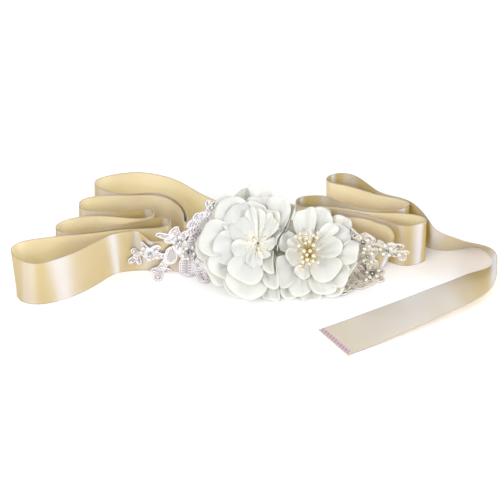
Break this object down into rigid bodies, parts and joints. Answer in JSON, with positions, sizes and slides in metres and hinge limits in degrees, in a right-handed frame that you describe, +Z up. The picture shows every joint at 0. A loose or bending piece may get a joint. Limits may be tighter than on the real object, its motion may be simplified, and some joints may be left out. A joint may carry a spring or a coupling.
{
  "type": "bridal sash",
  "caption": "Satin ribbon bridal sash stored on edge in soft loops, with fabric flowers, beaded corded lace and a tail laid flat at the front.",
  "frame": {"origin": "the middle of the sash's footprint, on the surface that it lies on", "axes": "+X to the right along the waist band, +Y away from the viewer, +Z up"},
  "size_m": [0.365, 0.175, 0.0611],
  "materials": {
    "satin_ribbon": "champagne-gold polyester satin with a soft silky sheen",
    "petal_fabric": "ivory-white matt petal fabric, faintly green-yellow at the hearts",
    "stamen_beads": "cream pearl beads on thin cream stalks",
    "corded_lace": "silver-white corded embroidery lace with pearls and clear stones"
  },
  "bodies": {
    "root": {"left_loop_4_back": "satin_ribbon", "left_loop_4_front": "satin_ribbon", "left_loop_3_back": "satin_ribbon", "left_loop_3_front": "satin_ribbon", "left_loop_2_back": "satin_ribbon", "left_loop_2_front": "satin_ribbon", "left_loop_1_back": "satin_ribbon", "left_loop_1_front": "satin_ribbon", "waist_band": "satin_ribbon", "right_loop_4": "satin_ribbon", "right_loop_3_front": "satin_ribbon", "right_loop_3_back": "satin_ribbon", "right_loop_2_front": "satin_ribbon", "right_loop_1_front": "satin_ribbon", "right_loop_1_back": "satin_ribbon", "tail_rise": "satin_ribbon", "tail": "satin_ribbon", "flower_1_back_petals": "petal_fabric", "flower_1_outer_petals": "petal_fabric", "flower_1_inner_petals": "petal_fabric", "flower_1_middle_petals": "petal_fabric", "flower_2_back_petals": "petal_fabric", "flower_2_outer_petals": "petal_fabric", "flower_2_inner_petals": "petal_fabric", "flower_2_stamens": "stamen_beads", "lace_left": "corded_lace", "lace_right": "corded_lace"}
  },
  "joints": []
}
